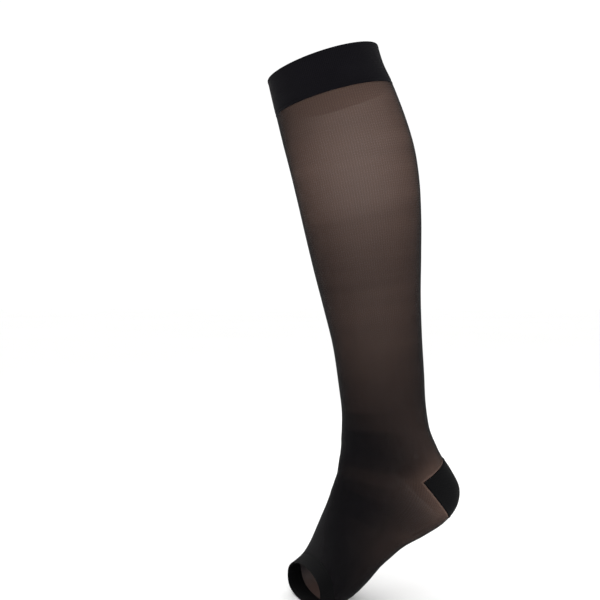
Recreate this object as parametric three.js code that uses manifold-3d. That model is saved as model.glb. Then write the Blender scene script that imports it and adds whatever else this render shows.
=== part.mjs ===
// Knee-high compression stocking with an open toe, in the hollow form it has on a raised foot.
// Millimetres, +Z up. The toes point along -Y and the outer side of the leg faces +X.
// The origin is the centre of the top opening.

import * as THREE from 'three';
import { mergeVertices } from 'three/addons/utils/BufferGeometryUtils.js';
import Module from 'manifold-3d';

// Driving sizes
const wall = { band: 1.6, knit: 1.0, heel: 1.4, toe: 1.4 };     // thickness of each piece's knit
const proud = { band: 0.3, knit: 0, heel: 0.2, toe: 0.2 };      // how far each piece stands off the knit
const seamGap = 0.3;              // parting between two pieces where they are joined
const wales = 40;                 // columns of faces round the leg
const courseStep = 18;            // longest step between two rings, along the calf and the sole

// Heel pocket: a wedge seen from the side, open to the back. Its two gore lines meet at the point.
const gore = { pointY: 86, pointZ: -377, rise: 30, fall: 47, reach: 90 };

// One row for each section, from the top opening to the toe opening.
// frontY and frontZ are its point on the shin or the instep, backY and backZ on the calf or the sole.
// half is half its width, square is 2 for an oval and more for a flatter back or sole, and
// lift is how far the outer side of the leg stands above the middle.
const sections = [
  { at: 'top edge',     frontY: -49,  frontZ: -14,  backY: 49,  backZ: 14,   half: 50,   square: 2,   lift: 6 },
  { at: 'band middle',  frontY: -45,  frontZ: -30,  backY: 55,  backZ: -3,   half: 51,   square: 2,   lift: 6 },
  { at: 'band seam',    frontY: -41,  frontZ: -46,  backY: 64,  backZ: -19,  half: 52,   square: 2,   lift: 5 },
  { at: 'upper calf',   frontY: -35,  frontZ: -70,  backY: 76,  backZ: -45,  half: 53,   square: 2,   lift: 3 },
  { at: 'calf',         frontY: -28,  frontZ: -96,  backY: 86,  backZ: -73,  half: 53,   square: 2,   lift: 1 },
  { at: 'full calf',    frontY: -21,  frontZ: -123, backY: 91,  backZ: -102, half: 53,   square: 2,   lift: 0 },
  { at: 'lower calf',   frontY: -13,  frontZ: -155, backY: 93,  backZ: -137, half: 51.5, square: 2,   lift: 0 },
  { at: 'mid leg',      frontY: -4.5, frontZ: -188, backY: 93,  backZ: -173, half: 49,   square: 2,   lift: 0 },
  { at: 'thin calf',    frontY: 4.5,  frontZ: -221, backY: 93,  backZ: -209, half: 45,   square: 2,   lift: 0 },
  { at: 'above ankle',  frontY: 13,   frontZ: -255, backY: 95,  backZ: -245, half: 40,   square: 2,   lift: 0 },
  { at: 'narrow ankle', frontY: 18,   frontZ: -289, backY: 98,  backZ: -280, half: 36,   square: 2,   lift: 0 },
  { at: 'ankle',        frontY: 21,   frontZ: -314, backY: 100, backZ: -308, half: 34,   square: 2,   lift: 0 },
  { at: 'ankle bones',  frontY: 21,   frontZ: -329, backY: 104, backZ: -330, half: 34.5, square: 2,   lift: 0 },
  { at: 'over heel',    frontY: 20,   frontZ: -341, backY: 114, backZ: -353, half: 34.5, square: 2,   lift: 0 },
  { at: 'heel top',     frontY: 19,   frontZ: -351, backY: 127, backZ: -371, half: 33,   square: 2,   lift: 0 },
  { at: 'heel',         frontY: 17,   frontZ: -361, backY: 136, backZ: -389, half: 32,   square: 2.1, lift: 0 },
  { at: 'heel under',   frontY: 15,   frontZ: -370, backY: 134, backZ: -404, half: 31,   square: 2.2, lift: 0 },
  { at: 'heel front',   frontY: 12,   frontZ: -379, backY: 121, backZ: -419, half: 31,   square: 2.3, lift: 0 },
  { at: 'arch back',    frontY: 9,    frontZ: -388, backY: 99,  backZ: -430, half: 31,   square: 2.4, lift: 0 },
  { at: 'arch',         frontY: 6,    frontZ: -397, backY: 75,  backZ: -439, half: 32,   square: 2.5, lift: 0 },
  { at: 'arch front',   frontY: 2,    frontZ: -408, backY: 53,  backZ: -452, half: 35,   square: 2.6, lift: 0 },
  { at: 'instep',       frontY: -2,   frontZ: -420, backY: 34,  backZ: -467, half: 38,   square: 2.8, lift: 0 },
  { at: 'ball back',    frontY: -5,   frontZ: -431, backY: 15,  backZ: -478, half: 41,   square: 3,   lift: 0 },
  { at: 'ball',         frontY: -9,   frontZ: -441, backY: -3,  backZ: -482, half: 42.5, square: 3,   lift: 0 },
  { at: 'toe edge',     frontY: -18,  frontZ: -450, backY: -19, backZ: -482, half: 42,   square: 3,   lift: 0 },
];

const lastRow = sections.length - 1;
const rowOf = (name) => sections.findIndex((row) => row.at === name);

// Smooth lines through the sections, all read by the same row number
const lineThrough = (pick) => new THREE.CatmullRomCurve3(sections.map(pick), false, 'centripetal');
const frontLine = lineThrough((row) => new THREE.Vector3(0, row.frontY, row.frontZ));
const backLine = lineThrough((row) => new THREE.Vector3(0, row.backY, row.backZ));
const girthLine = lineThrough((row) => new THREE.Vector3(row.half, row.square, row.lift));
const along = (line, row) => line.getPoint(Math.min(Math.max(row / lastRow, 0), 1));

// A point of the leg's outside. turn is 0 at the back and half a circle at the front.
function skin(row, turn) {
  const front = along(frontLine, row);
  const back = along(backLine, row);
  const girth = along(girthLine, row);
  const c = Math.cos(turn);
  const s = Math.sin(turn);
  const bend = c > 0 ? 2 / girth.y : 1;
  const depth = Math.sign(c) * Math.abs(c) ** bend;
  const side = Math.sign(s) * Math.abs(s) ** bend;
  const middle = front.clone().add(back).multiplyScalar(0.5);
  const point = middle.addScaledVector(back.sub(front), depth / 2);
  return point.set(girth.x * side, point.y, point.z + girth.z * side);
}

// The direction straight out of the knit at that point
function outward(row, turn) {
  const step = 0.02;
  const lower = Math.max(row - step, 0);
  const upper = Math.min(row + step, lastRow);
  const down = skin(upper, turn).sub(skin(lower, turn));
  const round = skin(row, turn + step).sub(skin(row, turn - step));
  return round.cross(down).normalize();
}

// Rows of rings between two places, none further apart than courseStep along the back line
function ringRows(from, to) {
  const rows = [from];
  const stops = [];
  for (let row = Math.floor(from) + 1; row < to; row += 1) stops.push(row);
  stops.push(to);
  for (const stop of stops) {
    const start = rows[rows.length - 1];
    const length = along(backLine, start).distanceTo(along(backLine, stop));
    const steps = Math.max(1, Math.ceil(length / courseStep));
    for (let i = 1; i <= steps; i += 1) rows.push(start + (stop - start) * i / steps);
  }
  return rows;
}

// A closed tube of knit between two rows: the outside, the inside and the two cut edges
function knitTube(from, to, thickness, offset) {
  const rows = ringRows(from, to);
  const position = [];
  for (const depth of [offset, offset - thickness]) {
    for (const row of rows) {
      for (let wale = 0; wale < wales; wale += 1) {
        const turn = (wale / wales) * 2 * Math.PI;
        position.push(...skin(row, turn).addScaledVector(outward(row, turn), depth));
      }
    }
  }
  const inner = rows.length * wales;
  const at = (ring, wale) => ring * wales + (wale % wales);
  const index = [];
  const face = (a, b, c, d) => index.push(a, b, c, a, c, d);
  for (let wale = 0; wale < wales; wale += 1) {
    for (let ring = 0; ring < rows.length - 1; ring += 1) {
      face(at(ring, wale), at(ring, wale + 1), at(ring + 1, wale + 1), at(ring + 1, wale));
      face(inner + at(ring, wale), inner + at(ring + 1, wale),
        inner + at(ring + 1, wale + 1), inner + at(ring, wale + 1));
    }
    const end = rows.length - 1;
    face(at(0, wale + 1), at(0, wale), inner + at(0, wale), inner + at(0, wale + 1));
    face(at(end, wale), at(end, wale + 1), inner + at(end, wale + 1), inner + at(end, wale));
  }
  const geometry = new THREE.BufferGeometry();
  geometry.setAttribute('position', new THREE.Float32BufferAttribute(position, 3));
  geometry.setIndex(index);
  return geometry;
}

// The heel's wedge, pushed out past its gore lines by a margin
function goreWedge(margin) {
  const rise = THREE.MathUtils.degToRad(gore.rise);
  const fall = THREE.MathUtils.degToRad(gore.fall);
  const half = (rise + fall) / 2;
  const tilt = (rise - fall) / 2;
  const back = margin / Math.sin(half);
  const pointY = gore.pointY - back * Math.cos(tilt);
  const pointZ = gore.pointZ - back * Math.sin(tilt);
  const outline = new THREE.Shape();
  outline.moveTo(pointY, pointZ);
  outline.lineTo(pointY + gore.reach * Math.cos(fall), pointZ - gore.reach * Math.sin(fall));
  outline.lineTo(pointY + gore.reach * Math.cos(rise), pointZ + gore.reach * Math.sin(rise));
  outline.closePath();
  const wedge = new THREE.ExtrudeGeometry(outline, { depth: gore.reach, bevelEnabled: false });
  wedge.translate(0, 0, -gore.reach / 2);
  // the outline's own x, y and z become y, z and x
  return wedge.applyMatrix4(new THREE.Matrix4().set(0, 0, 1, 0, 1, 0, 0, 0, 0, 1, 0, 0, 0, 0, 0, 1));
}

// Booleans
const wasm = await Module();
wasm.setup();

function toSolid(geometry) {
  const bare = geometry.clone();
  for (const name of Object.keys(bare.attributes)) if (name !== 'position') bare.deleteAttribute(name);
  const merged = mergeVertices(bare, 1e-4);
  return new wasm.Manifold(new wasm.Mesh({
    numProp: 3,
    vertProperties: new Float32Array(merged.attributes.position.array),
    triVerts: new Uint32Array(merged.index.array),
  }));
}

function toGeometry(solid) {
  const mesh = solid.getMesh();
  const geometry = new THREE.BufferGeometry();
  geometry.setAttribute('position', new THREE.BufferAttribute(new Float32Array(mesh.vertProperties), 3));
  geometry.setIndex(new THREE.BufferAttribute(new Uint32Array(mesh.triVerts), 1));
  return geometry;
}

// The row that lies one seam gap below a seam, measured square to it at the front
function belowSeam(row) {
  if (row === 0) return row;
  const seam = along(backLine, row).sub(along(frontLine, row)).normalize();
  const step = along(frontLine, row + 1).sub(along(frontLine, row));
  return row + seamGap / step.cross(seam).length();
}

// The tubes in order down the leg. The sheer knit runs in one piece from the band to the toe band,
// and it is parted twice here, so that each solid is a simple stretch of tube.
const stretches = [
  { name: 'top_band', from: 'top edge', to: 'band seam', kind: 'band' },
  { name: 'calf', from: 'band seam', to: 'thin calf', kind: 'knit' },
  { name: 'ankle', from: 'thin calf', to: 'ankle bones', kind: 'knit' },
  { name: 'foot', from: 'ankle bones', to: 'ball', kind: 'knit' },
  { name: 'toe_band', from: 'ball', to: 'toe edge', kind: 'toe' },
];

function stretchOf({ name, from, to, kind }) {
  const tube = knitTube(belowSeam(rowOf(from)), rowOf(to), wall[kind], proud[kind]);
  if (name !== 'foot') return tube;
  return toGeometry(toSolid(tube).subtract(toSolid(goreWedge(seamGap))));
}

function heelPocket() {
  const tube = knitTube(rowOf('ankle bones'), rowOf('arch back'), wall.heel, proud.heel);
  return toGeometry(toSolid(tube).intersect(toSolid(goreWedge(0))));
}

const finish = {
  band: { color: 0x1b191d, roughness: 0.9, metalness: 0 },
  knit: { color: 0x4a3c38, roughness: 0.85, metalness: 0 },
  heel: { color: 0x19181a, roughness: 0.9, metalness: 0 },
  toe: { color: 0x1c1a1b, roughness: 0.9, metalness: 0 },
};

function piece(name, geometry, look) {
  geometry.computeVertexNormals();
  const mesh = new THREE.Mesh(geometry, new THREE.MeshStandardMaterial(finish[look]));
  mesh.name = name;
  return mesh;
}

const stocking = new THREE.Group();
for (const stretch of stretches) stocking.add(piece(stretch.name, stretchOf(stretch), stretch.kind));
stocking.add(piece('heel', heelPocket(), 'heel'));

export default stocking;
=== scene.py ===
import bpy
import math
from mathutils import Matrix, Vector


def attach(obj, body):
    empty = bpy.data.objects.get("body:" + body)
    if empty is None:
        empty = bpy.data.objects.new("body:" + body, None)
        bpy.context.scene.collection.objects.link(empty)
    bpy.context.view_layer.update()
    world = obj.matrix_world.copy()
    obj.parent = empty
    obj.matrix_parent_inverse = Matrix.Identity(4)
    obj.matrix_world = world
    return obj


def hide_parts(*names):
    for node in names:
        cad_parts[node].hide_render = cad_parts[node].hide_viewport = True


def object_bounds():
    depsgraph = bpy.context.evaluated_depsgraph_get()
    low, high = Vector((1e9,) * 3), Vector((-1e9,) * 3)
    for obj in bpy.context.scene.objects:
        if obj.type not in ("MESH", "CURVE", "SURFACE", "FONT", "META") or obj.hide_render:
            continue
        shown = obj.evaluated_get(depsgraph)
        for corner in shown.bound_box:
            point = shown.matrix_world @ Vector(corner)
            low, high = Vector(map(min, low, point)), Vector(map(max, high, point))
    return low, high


# Knee-high sheer compression stocking with an open toe, hollow, in the shape it has when worn
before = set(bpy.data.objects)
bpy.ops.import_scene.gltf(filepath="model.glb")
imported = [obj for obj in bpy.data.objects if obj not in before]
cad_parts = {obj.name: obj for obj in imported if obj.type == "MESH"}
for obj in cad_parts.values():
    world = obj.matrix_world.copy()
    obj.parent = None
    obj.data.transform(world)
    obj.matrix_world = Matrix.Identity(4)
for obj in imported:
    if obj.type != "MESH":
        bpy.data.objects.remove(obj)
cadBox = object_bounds()
mm = 0.001
print("frame loaded:", ", ".join(sorted(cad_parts)))

# The worn shape, a row for each section from the band's upper edge to the toe opening, in millimetres.
# frontY and frontZ lie on the shin or instep, backY and backZ on the calf or sole. half is half the
# width, square is 2 for an oval and more for a flatter sole, lift is how much higher the outer side is,
# open is the share of light that passes between the loops: the knit is graded, and densest to the foot.
columns = ("frontY", "frontZ", "backY", "backZ", "half", "square", "lift", "open")
wornSections = {
    "top edge": (-49, -14, 49, 14, 50, 2, 6, 0.54),
    "band middle": (-45, -30, 55, -3, 51, 2, 6, 0.54),
    "band seam": (-41, -46, 64, -19, 52, 2, 5, 0.54),
    "upper calf": (-35, -70, 76, -45, 53, 2, 3, 0.56),
    "calf": (-28, -96, 86, -73, 53, 2, 1, 0.587),
    "full calf": (-21, -123, 91, -102, 53, 2, 0, 0.585),
    "lower calf": (-13, -155, 93, -137, 51.5, 2, 0, 0.52),
    "mid leg": (-4.5, -188, 93, -173, 49, 2, 0, 0.48),
    "thin calf": (4.5, -221, 93, -209, 45, 2, 0, 0.465),
    "above ankle": (13, -255, 95, -245, 40, 2, 0, 0.44),
    "narrow ankle": (18, -289, 98, -280, 36, 2, 0, 0.395),
    "ankle": (21, -314, 100, -308, 34, 2, 0, 0.375),
    "ankle bones": (21, -329, 104, -330, 34.5, 2, 0, 0.365),
    "over heel": (20, -341, 114, -353, 34.5, 2, 0, 0.36),
    "heel top": (19, -351, 127, -371, 33, 2, 0, 0.37),
    "heel": (17, -361, 136, -389, 32, 2.1, 0, 0.375),
    "heel under": (15, -370, 134, -404, 31, 2.2, 0, 0.38),
    "heel front": (12, -379, 121, -419, 31, 2.3, 0, 0.375),
    "arch back": (9, -388, 99, -430, 31, 2.4, 0, 0.36),
    "arch": (6, -397, 75, -439, 32, 2.5, 0, 0.345),
    "arch front": (2, -408, 53, -452, 35, 2.6, 0, 0.31),
    "instep": (-2, -420, 34, -467, 38, 2.8, 0, 0.265),
    "ball back": (-5, -431, 15, -478, 41, 3, 0, 0.235),
    "ball": (-9, -441, -3, -482, 42.5, 3, 0, 0.225),
    "toe edge": (-18, -450, -19, -482, 42, 3, 0, 0.225),
}
sections = [dict(zip(columns, row)) for row in wornSections.values()]
rowNames = list(wornSections)
lastRow = len(sections) - 1

# The heel pocket's two gore lines, seen from the side: they meet at the point and open to the back
gore = {"pointY": 86 * mm, "pointZ": -377 * mm, "rise": math.radians(30), "fall": math.radians(47)}
gorePoint = Vector((0, gore["pointY"], gore["pointZ"]))
goreNormals = (Vector((0, -math.sin(gore["rise"]), math.cos(gore["rise"]))),
               Vector((0, -math.sin(gore["fall"]), -math.cos(gore["fall"]))))


def pastGores(place):
    # how far a place is outside the heel pocket, square to the nearer gore line; less than 0 is inside
    return max((place - gorePoint).dot(normal) for normal in goreNormals)


# Helpers

def clearSelection():
    if bpy.context.object and bpy.context.object.mode != "OBJECT":
        bpy.ops.object.mode_set(mode="OBJECT")
    bpy.ops.object.select_all(action="DESELECT")


def onlySelect(piece):
    clearSelection()
    piece.select_set(True)
    bpy.context.view_layer.objects.active = piece


def hexColour(code, alpha=1.0):
    parts = [int(code[i:i + 2], 16) / 255 for i in (1, 3, 5)]
    linear = [p / 12.92 if p <= 0.04045 else ((p + 0.055) / 1.055) ** 2.4 for p in parts]
    return (*linear, alpha)


def addNode(tree, kind, links=None, **settings):
    node = tree.nodes.new("ShaderNode" + kind)
    for key, value in settings.items():
        if key.startswith("in_"):
            socket = node.inputs[int(key[3:])] if key[3:].isdigit() else node.inputs[key[3:].replace("_", " ")]
            socket.default_value = value
        else:
            setattr(node, key, value)
    for name, source in (links or {}).items():
        tree.links.new(source, node.inputs[name])
    return node


def rampStops(node, stops):
    ramp = node.color_ramp
    while len(ramp.elements) > 1:
        ramp.elements.remove(ramp.elements[-1])
    ramp.elements[0].position = stops[0][0]
    ramp.elements[0].color = (stops[0][1],) * 3 + (1,)
    for place, value in stops[1:]:
        ramp.elements.new(place).color = (value,) * 3 + (1,)
    return node


# The worn shape

def through(points, place):
    # a smooth line through the points, with the bends shared out by the distance between them
    start = min(int(place), len(points) - 2)
    part = place - start
    p1, p2 = points[start], points[start + 1]
    p0 = points[start - 1] if start > 0 else p1 * 2 - p2
    p3 = points[start + 2] if start + 2 < len(points) else p2 * 2 - p1
    d0, d1, d2 = [max((b - a).length ** 0.5, 1e-4) for a, b in ((p0, p1), (p1, p2), (p2, p3))]
    t1 = ((p1 - p0) / d0 - (p2 - p0) / (d0 + d1) + (p2 - p1) / d1) * d1
    t2 = ((p2 - p1) / d1 - (p3 - p1) / (d1 + d2) + (p3 - p2) / d2) * d1
    bend = p1 * -3 + p2 * 3 - t1 * 2 - t2
    turnBack = p1 * 2 - p2 * 2 + t1 + t2
    return p1 + t1 * part + bend * part ** 2 + turnBack * part ** 3


frontPoints = [Vector((0, s["frontY"], s["frontZ"])) for s in sections]
backPoints = [Vector((0, s["backY"], s["backZ"])) for s in sections]
girthPoints = [Vector((s["half"], s["square"], s["lift"])) for s in sections]
openPoints = [Vector((s["open"], 0, 0)) for s in sections]


def ringAt(row):
    row = min(max(row, 0), lastRow)
    return [through(points, row) for points in (frontPoints, backPoints, girthPoints)]


def pointOn(ring, turn):
    front, back, girth = ring
    c, s = math.cos(turn), math.sin(turn)
    bend = 2 / girth.y if c > 0 else 1
    depth = math.copysign(abs(c) ** bend, c)
    side = math.copysign(abs(s) ** bend, s)
    point = (front + back) / 2 + (back - front) * depth / 2
    return Vector((girth.x * side, point.y, point.z + girth.z * side)) * mm


# Lengths down the leg, the mean of the front and back lines, for even courses of stitches
lengthStep = 0.02
courseTable = [0.0]
for i in range(round(lastRow / lengthStep)):
    ringA, ringB = ringAt(i * lengthStep), ringAt((i + 1) * lengthStep)
    courseTable.append(courseTable[-1] + ((ringB[0] - ringA[0]).length + (ringB[1] - ringA[1]).length) / 2 * mm)


def lengthAt(row):
    place = row / lengthStep
    i = min(int(place), len(courseTable) - 2)
    return courseTable[i] + (courseTable[i + 1] - courseTable[i]) * (place - i)


def rowAt(length):
    low, high = 0.0, float(lastRow)
    for _ in range(30):
        middle = (low + high) / 2
        low, high = (middle, high) if lengthAt(middle) < length else (low, middle)
    return (low + high) / 2


# Soft creases: row and turn of the middle (0 is the back, 180 the shin), how far each
# reaches round the leg in degrees and down it in mm, its height in mm (less than 0 is a trough)
creases = [
    {"row": 13.3, "turn": 180, "round": 62, "down": 5.0, "height": -0.35},
    {"row": 14.6, "turn": 172, "round": 50, "down": 4.5, "height": 0.3},
    {"row": 16.0, "turn": 186, "round": 58, "down": 5.0, "height": -0.35},
    {"row": 17.6, "turn": 178, "round": 40, "down": 4.0, "height": 0.3},
    {"row": 12.1, "turn": 6, "round": 48, "down": 6.0, "height": -0.45},
    {"row": 12.7, "turn": -8, "round": 40, "down": 5.0, "height": 0.5},
    {"row": 2.6, "turn": 96, "round": 70, "down": 9.0, "height": -0.5},
    {"row": 2.7, "turn": -80, "round": 60, "down": 8.0, "height": -0.5},
    {"row": 19.6, "turn": 20, "round": 50, "down": 6.0, "height": 0.5},
]


def stitchHeight(size, fromTop, fromEnd):
    # lines of stitches that run round a piece, each so far in from its upper or lower edge
    total = 0.0
    for line in size.get("stitchLines", ()):
        away = (fromTop if line["edge"] == "upper" else fromEnd) - line["in"] * mm
        total += line["height"] * mm * math.exp(-(away / (line["reach"] * mm)) ** 2)
    return total


def creaseHeight(length, turn):
    total = 0.0
    for crease in creases:
        down = (length - lengthAt(crease["row"])) / (crease["down"] * mm)
        away = (math.degrees(turn) - crease["turn"] + 180) % 360 - 180
        across = away / crease["round"]
        if abs(down) < 3 and abs(across) < 3:
            total += crease["height"] * mm * math.exp(-down ** 2 - across ** 2 * 2)
    return total


def wornTube(name, size):
    # a cylinder with no ends, cut into courses and drawn over the sections
    clearSelection()
    bpy.ops.mesh.primitive_cylinder_add(vertices=size["wales"], radius=1, depth=2, end_fill_type="NOTHING")
    tube = bpy.context.object
    tube.name = name
    tube.data.name = name
    mesh = tube.data
    bpy.ops.object.mode_set(mode="EDIT")
    bpy.ops.mesh.select_mode(type="EDGE")
    bpy.ops.mesh.select_all(action="DESELECT")
    bpy.ops.object.mode_set(mode="OBJECT")
    for edge in mesh.edges:
        a, b = [mesh.vertices[i].co for i in edge.vertices]
        edge.select = abs(a.z - b.z) > 1
    bpy.ops.object.mode_set(mode="EDIT")
    bpy.ops.mesh.subdivide(number_cuts=size["courses"] - 1)
    bpy.ops.object.mode_set(mode="OBJECT")

    top, end = lengthAt(size["from"]), lengthAt(size["to"])
    turns = [math.atan2(v.co.x, v.co.y) for v in mesh.vertices]      # 0 is the back
    lengths = [top + (end - top) * (1 - v.co.z) / 2 for v in mesh.vertices]
    openness = mesh.attributes.new("openness", "FLOAT", "POINT")
    rings = {}
    delta = 0.05
    for i, vertex in enumerate(mesh.vertices):
        key = round(lengths[i], 6)
        if key not in rings:
            row = rowAt(lengths[i])
            lower, upper = max(row - delta, 0), min(row + delta, lastRow)
            rings[key] = (ringAt(row), ringAt(lower), ringAt(upper), lengthAt(upper) - lengthAt(lower),
                          through(openPoints, row).x)
        ring, above, below, run, openShare = rings[key]
        turn = turns[i]
        vertex.co = pointOn(ring, turn)
        # the knit opens where the courses are pulled further apart than on the rest of their ring,
        # and beside the heel pocket, which doesn't stretch
        pull = min(max((pointOn(below, turn) - pointOn(above, turn)).length / run, 0.55), 1.4)
        besideHeel = math.exp(-(max(pastGores(vertex.co), 0) / (15 * mm)) ** 2)
        openness.data[i].value = openShare * pull ** 1.2 + 0.11 * besideHeel
    mesh.update()

    # creases and stitch lines rise and sink along the knit's own normals
    normals = [Vector(v.normal) for v in mesh.vertices]
    for i, vertex in enumerate(mesh.vertices):
        relief = stitchHeight(size, lengths[i] - top, end - lengths[i]) + creaseHeight(lengths[i], turns[i])
        vertex.co += normals[i] * (size["proud"] + relief)

    # the knit's own map: once round the leg is 1 across, and a metre down it is 1 up
    layer = mesh.uv_layers[0]
    layer.name = "knit"
    for face in mesh.polygons:
        corners = [(loop, mesh.loops[loop].vertex_index) for loop in face.loop_indices]
        across = [turns[v] / (2 * math.pi) % 1 for _, v in corners]
        seam = max(across) - min(across) > 0.5
        for (loop, v), u in zip(corners, across):
            layer.data[loop].uv = (u + 1 if seam and u < 0.5 else u, lengths[v])
    mesh.update()
    return tube


def cutGores(piece, keepPocket, margin):
    # cuts the tube along both gore lines, and keeps the pocket or what is round it
    mesh = piece.data
    nearHeel = 3 * mm
    for normal in goreNormals:
        onlySelect(piece)
        bpy.ops.object.mode_set(mode="EDIT")
        bpy.ops.mesh.select_mode(type="FACE")
        bpy.ops.mesh.select_all(action="DESELECT")
        bpy.ops.object.mode_set(mode="OBJECT")
        for face in mesh.polygons:
            face.select = face.center.y > gorePoint.y - nearHeel and face.center.z < -330 * mm
        bpy.ops.object.mode_set(mode="EDIT")
        bpy.ops.mesh.bisect(plane_co=gorePoint + normal * margin, plane_no=normal)
        bpy.ops.mesh.select_all(action="DESELECT")
        bpy.ops.object.mode_set(mode="OBJECT")
    for face in mesh.polygons:
        face.select = (pastGores(face.center) < margin) != keepPocket
    bpy.ops.object.mode_set(mode="EDIT")
    bpy.ops.mesh.delete(type="FACE")
    bpy.ops.object.mode_set(mode="OBJECT")


def raiseGoreLine(piece, line):
    # the linked loops stand up in a soft line just inside the pocket's edges
    mesh = piece.data
    normals = [Vector(v.normal) for v in mesh.vertices]
    for i, vertex in enumerate(mesh.vertices):
        away = (-pastGores(vertex.co) - line["in"] * mm) / (line["reach"] * mm)
        vertex.co += normals[i] * line["height"] * mm * math.exp(-away ** 2)
    mesh.update()


def giveWall(piece, thickness, edge, materials):
    # a wall inwards from the outside, with its cut edges softly rounded. The second material is inside
    onlySelect(piece)
    piece.data.materials.clear()
    for material in materials:
        piece.data.materials.append(material)
    wall = piece.modifiers.new("wall", "SOLIDIFY")
    wall.material_offset = len(materials) - 1
    wall.thickness = thickness
    wall.offset = -1
    wall.use_even_offset = True
    bpy.ops.object.modifier_apply(modifier=wall.name)
    rounding = piece.modifiers.new("edge", "BEVEL")
    rounding.width = edge
    rounding.segments = 2
    rounding.limit_method = "ANGLE"
    rounding.angle_limit = math.radians(50)
    bpy.ops.object.modifier_apply(modifier=rounding.name)
    bpy.ops.object.shade_smooth_by_angle(angle=math.radians(45))


# Materials

def knitMaterial(name):
    material = bpy.data.materials.new(name)
    material.use_nodes = True
    tree = material.node_tree
    tree.nodes.clear()
    return material, tree


def mathOn(tree, operation, first, second=None):
    node = addNode(tree, "Math", operation=operation)
    for i, value in enumerate((first, second)):
        if value is None:
            continue
        if isinstance(value, (int, float)):
            node.inputs[i].default_value = value
        else:
            tree.links.new(value, node.inputs[i])
    return node.outputs[0]


def knitLines(tree, wales, courseSize):
    # columns and courses of stitches, as two sets of soft waves on the knit's own map
    knitMap = addNode(tree, "UVMap", uv_map="knit").outputs["UV"]
    turns = 20 / (2 * math.pi)      # Blender's band wave repeats this often in one unit at scale 1
    wale = addNode(tree, "TexWave", {"Vector": knitMap}, wave_type="BANDS", bands_direction="X",
                   in_Scale=wales / turns, in_Distortion=0.0)
    course = addNode(tree, "TexWave", {"Vector": knitMap}, wave_type="BANDS", bands_direction="Y",
                     in_Scale=1 / courseSize / turns, in_Distortion=0.0)
    return knitMap, wale.outputs["Fac"], course.outputs["Fac"]


# Sheer knit, outer face: loops of near black nylon in a fine open jersey. Light gets between the loops,
# less where the knit is dense or seen at a slant, so the leg of the stocking darkens to its outline.
# Inner face: the covered elastane laid in behind the loops. It is paler, and shows between them as a warm
# brown, and only a little of what is inside or behind comes through it. To the foot it is plaited denser
# and darker.
sheerLook = {
    "loops": "#0c0b0d", "roughness": 0.85, "specular": 0.03, "sheen": 0.02,
    "inlay": "#967a6e", "denseInlay": "#2a2325", "dense": 0.21, "open": 0.52, "inlayRoughness": 0.8,
    "inlayGaps": 0.8,           # share of light through the inlay, for a wholly open knit
    "wales": 150,               # drawn 2.2 mm apart on the calf: the real ones, at 0.7 mm, would not show
    "course": 2.1 * mm,
    "bump": 0.12 * mm,
}


def throughShare(tree, straightShare, facesPerWall):
    # a slanting look passes more yarn: light falls with the longer way through the wall
    facing = addNode(tree, "LayerWeight", in_Blend=0.5).outputs["Facing"]
    straight = mathOn(tree, "MAXIMUM", mathOn(tree, "SUBTRACT", 1.0, facing), 0.06)
    return mathOn(tree, "POWER", straightShare, mathOn(tree, "DIVIDE", 1 / facesPerWall, straight))


def finishSheer(tree, share, yarn):
    gaps = addNode(tree, "BsdfTransparent")
    cover = mathOn(tree, "SUBTRACT", 1.0, throughShare(tree, share, 1))
    mix = addNode(tree, "MixShader", {0: cover, 1: gaps.outputs[0], 2: yarn.outputs[0]})
    addNode(tree, "OutputMaterial", {"Surface": mix.outputs[0]})


def sheerLoops():
    material, tree = knitMaterial("sheer nylon jersey")
    look = sheerLook
    knitMap, wale, course = knitLines(tree, look["wales"], look["course"])
    share = addNode(tree, "Attribute", attribute_name="openness").outputs["Fac"]

    # uneven yarn: soft bands down the leg, and the columns and courses of stitches
    banded = addNode(tree, "Mapping", {"Vector": knitMap}, in_Scale=(1.5, 60, 1)).outputs["Vector"]
    bands = addNode(tree, "TexNoise", {"Vector": banded}, in_Scale=1.0, in_Detail=3.0).outputs["Fac"]
    for source, low, high in ((bands, 0.89, 1.11), (wale, 0.92, 1.07), (course, 0.97, 1.03)):
        uneven = addNode(tree, "MapRange", {"Value": source}, in_3=low, in_4=high).outputs[0]
        share = mathOn(tree, "MULTIPLY", share, uneven)

    # a line of open stitches beside the heel pocket's gore lines
    place = addNode(tree, "TexCoord").outputs["Object"]
    away = addNode(tree, "VectorMath", {0: place}, operation="SUBTRACT",
                   in_1=gorePoint).outputs["Vector"]
    sides = []
    for normal in goreNormals:
        sides.append(addNode(tree, "VectorMath", {0: away}, operation="DOT_PRODUCT",
                             in_1=normal).outputs["Value"])
    beside = mathOn(tree, "MULTIPLY", mathOn(tree, "MAXIMUM", sides[0], sides[1]), 1 / (5 * mm))
    line = rampStops(addNode(tree, "ValToRGB", {"Fac": beside}), [
        (0.0, 0.0), (0.08, 0.0), (0.20, 1.0), (0.34, 1.0), (0.55, 0.0)]).outputs["Color"]
    share = mathOn(tree, "ADD", share, mathOn(tree, "MULTIPLY", line, 0.16))

    height = mathOn(tree, "ADD", wale, mathOn(tree, "MULTIPLY", course, 0.5))
    bump = addNode(tree, "Bump", {"Height": height}, in_Strength=0.5, in_Distance=look["bump"])
    yarn = addNode(tree, "BsdfPrincipled", {"Normal": bump.outputs["Normal"]},
                   in_Base_Color=hexColour(look["loops"]), in_Roughness=look["roughness"],
                   in_Specular_IOR_Level=look["specular"], in_Sheen_Weight=look["sheen"])
    finishSheer(tree, share, yarn)
    return material


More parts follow.
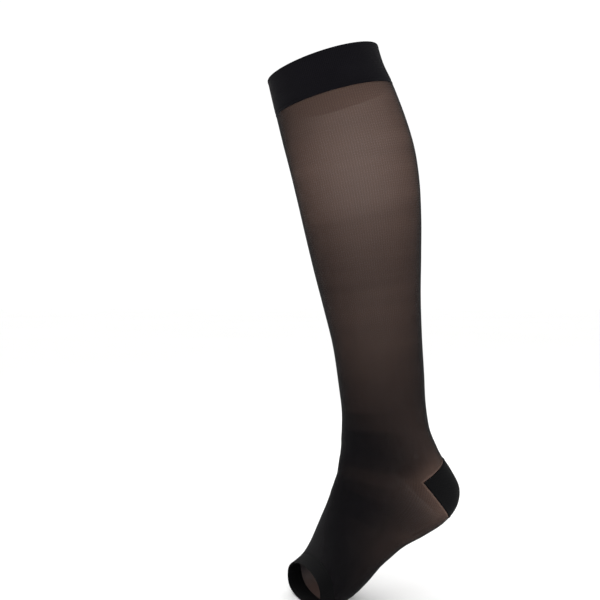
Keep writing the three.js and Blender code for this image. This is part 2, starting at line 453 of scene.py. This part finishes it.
def sheerInlay():
    material, tree = knitMaterial("covered elastane inlay")
    look = sheerLook
    openness = addNode(tree, "Attribute", attribute_name="openness").outputs["Fac"]
    share = mathOn(tree, "MULTIPLY", mathOn(tree, "POWER", openness, 2.0), look["inlayGaps"])
    pale = addNode(tree, "MapRange", {"Value": openness}, in_1=look["dense"], in_2=look["open"]).outputs[0]
    colour = addNode(tree, "Mix", {0: pale}, data_type="RGBA",
                     in_6=hexColour(look["denseInlay"]), in_7=hexColour(look["inlay"])).outputs[2]
    yarn = addNode(tree, "BsdfPrincipled", {"Base Color": colour}, in_Roughness=look["inlayRoughness"],
                   in_Specular_IOR_Level=0.1)
    finishSheer(tree, share, yarn)
    return material


# Dense knit: the doubled band, the heel pocket and the toe band. Opaque, matt, with a soft sheen, and a painted
# highlight: the raised stitches are coloured lighter than the yarn, more so in random patches.
denseLooks = {
    "doubled elastic rib": {"yarn": "#08070a", "raised": "#111014", "wales": 200, "course": 1.6 * mm,
                            "bump": 0.25 * mm, "waleShare": 1.0, "courseShare": 0.45},
    "reinforced plain knit": {"yarn": "#070708", "raised": "#0f0f10", "wales": 180, "course": 1.4 * mm,
                              "bump": 0.2 * mm, "waleShare": 0.6, "courseShare": 0.9},
    "knitted toe hem": {"yarn": "#060607", "raised": "#0c0c0d", "wales": 190, "course": 1.5 * mm,
                        "bump": 0.22 * mm, "waleShare": 0.9, "courseShare": 0.5},
}


def denseKnit(name):
    material, tree = knitMaterial(name)
    look = denseLooks[name]
    knitMap, wale, course = knitLines(tree, look["wales"], look["course"])
    patches = addNode(tree, "TexNoise", {"Vector": addNode(
        tree, "Mapping", {"Vector": knitMap}, in_Scale=(9, 70, 1)).outputs["Vector"]},
        in_Scale=1.0, in_Detail=4.0).outputs["Fac"]
    stitches = mathOn(tree, "ADD", mathOn(tree, "MULTIPLY", wale, look["waleShare"]),
                      mathOn(tree, "MULTIPLY", course, look["courseShare"]))
    # painted highlight: the colour goes lighter where the stitches stand high, as if lit on their tops, more so
    # in random patches
    highlightShare = mathOn(tree, "MULTIPLY", stitches, patches)
    colour = addNode(tree, "Mix", {0: highlightShare}, data_type="RGBA",
                     in_6=hexColour(look["yarn"]), in_7=hexColour(look["raised"])).outputs[2]
    bump = addNode(tree, "Bump", {"Height": stitches}, in_Strength=0.6, in_Distance=look["bump"])
    yarn = addNode(tree, "BsdfPrincipled", {"Base Color": colour, "Normal": bump.outputs["Normal"]},
                   in_Roughness=0.85, in_Sheen_Weight=0.01, in_Sheen_Roughness=0.5,
                   in_Specular_IOR_Level=0.04)
    addNode(tree, "OutputMaterial", {"Surface": yarn.outputs[0]})
    return material


# Pieces

pieces = {
    "top_welt": {"from": 0.0, "to": rowNames.index("band seam"), "wales": 168, "courses": 60,
                 "stitchLines": ({"edge": "lower", "in": 2.2, "reach": 0.7, "height": -0.4},
                                 {"edge": "upper", "in": 1.6, "reach": 1.4, "height": 0.25}),
                 "proud": 0.3 * mm, "wall": 1.6 * mm, "edge": 0.6 * mm,
                 "nodes": ("top_band",), "slot": "band_knit", "material": "doubled elastic rib",
                 "flat": (0.250, 0.037)},
    "sheer_leg": {"from": rowNames.index("band seam") - 0.04, "to": rowNames.index("ball") + 0.05,
                  "wales": 160, "courses": 236, "proud": 0.0, "wall": 0.9 * mm, "edge": 0.15 * mm,
                  "nodes": ("calf", "ankle", "foot"), "slot": "sheer_knit", "material": None,
                  "flat": (0.260, 0.460), "area": 0.100},
    "toe_hem": {"from": rowNames.index("ball") + 0.0, "to": float(lastRow), "wales": 160, "courses": 26,
                "stitchLines": ({"edge": "upper", "in": 1.9, "reach": 0.7, "height": -0.35},
                                {"edge": "lower", "in": 1.4, "reach": 1.2, "height": 0.2}),
                "proud": 0.2 * mm, "wall": 1.4 * mm, "edge": 0.5 * mm,
                "nodes": ("toe_band",), "slot": "toe_knit", "material": "knitted toe hem",
                "flat": (0.180, 0.015)},
    "heel_pocket": {"from": rowNames.index("ankle bones"), "to": rowNames.index("arch back"),
                    "wales": 240, "courses": 120, "proud": 0.2 * mm, "wall": 1.4 * mm, "edge": 0.3 * mm,
                    "goreLine": {"in": 1.1, "reach": 0.7, "height": 0.35},
                    "nodes": ("heel",), "slot": "heel_knit", "material": "reinforced plain knit",
                    "flat": (0.100, 0.055)},
}

for name, size in pieces.items():
    piece = wornTube(name, size)
    if name == "sheer_leg":
        cutGores(piece, keepPocket=False, margin=0.3 * mm)
    if name == "heel_pocket":
        cutGores(piece, keepPocket=True, margin=0.0)
        raiseGoreLine(piece, size["goreLine"])
    materials = [denseKnit(size["material"])] if size["material"] else [sheerLoops(), sheerInlay()]
    giveWall(piece, size["wall"], size["edge"], materials)
    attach(piece, "root")
    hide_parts(*size["nodes"])
    print("made", name, "with", len(piece.data.polygons), "faces")


# Floor, light and camera

floorZ = cadBox[0][2] - 0.5 * mm
clearSelection()
bpy.ops.mesh.primitive_circle_add(vertices=96, radius=30, fill_type="NGON", location=(0, 0, floorZ))
floor = bpy.context.object
floor.name = "floor"
paper, paperTree = knitMaterial("matt seamless paper")
paperFibre = addNode(paperTree, "TexNoise", in_Scale=40.0, in_Detail=3.0).outputs["Fac"]
paperShade = addNode(paperTree, "Mix", {0: paperFibre}, data_type="RGBA",
                     in_6=hexColour("#f9f9f8"), in_7=hexColour("#fcfcfc")).outputs[2]
paperSurface = addNode(paperTree, "BsdfPrincipled", {"Base Color": paperShade}, in_Roughness=0.9)
addNode(paperTree, "OutputMaterial", {"Surface": paperSurface.outputs[0]})
floor.data.materials.append(paper)

studio = bpy.data.worlds.new("studio")
studio.use_nodes = True
studio.node_tree.nodes["Background"].inputs["Color"].default_value = (1, 1, 1, 1)
studio.node_tree.nodes["Background"].inputs["Strength"].default_value = 1.04
bpy.context.scene.world = studio

view = {"azimuth": 70, "distance": 0.9, "aimAcross": -20.25 * mm, "aimHeight": -212.4 * mm, "lens": 60}
turn = math.radians(view["azimuth"])
toCamera = Vector((math.sin(turn), -math.cos(turn), 0))
across = Vector((math.cos(turn), math.sin(turn), 0))
aim = across * view["aimAcross"] + Vector((0, 0, view["aimHeight"]))


def softBox(name, place, size, power):
    # place is across, up and towards the camera, in metres from the aim
    clearSelection()
    spot = aim + across * place[0] + Vector((0, 0, place[1])) + toCamera * place[2]
    turned = (aim - spot).to_track_quat("-Z", "Y").to_euler()
    bpy.ops.object.light_add(type="AREA", location=spot, rotation=turned)
    lamp = bpy.context.object
    lamp.name = name
    lamp.data.shape = "RECTANGLE"
    lamp.data.size, lamp.data.size_y = size
    lamp.data.energy = power


softBox("key", (0.5, 0.5, 1.3), (0.9, 1.2), 8)
softBox("fill", (-1.1, 0.4, 0.9), (1.0, 1.4), 3)
softBox("rim", (-0.3, 0.8, -1.2), (0.9, 1.0), 6)

clearSelection()
bpy.ops.object.camera_add(location=aim + toCamera * view["distance"], rotation=(math.pi / 2, 0, turn))
camera = bpy.context.object
camera.data.lens = view["lens"]
camera.data.sensor_width = 36
bpy.context.scene.camera = camera
bpy.context.scene.view_settings.view_transform = "Standard"
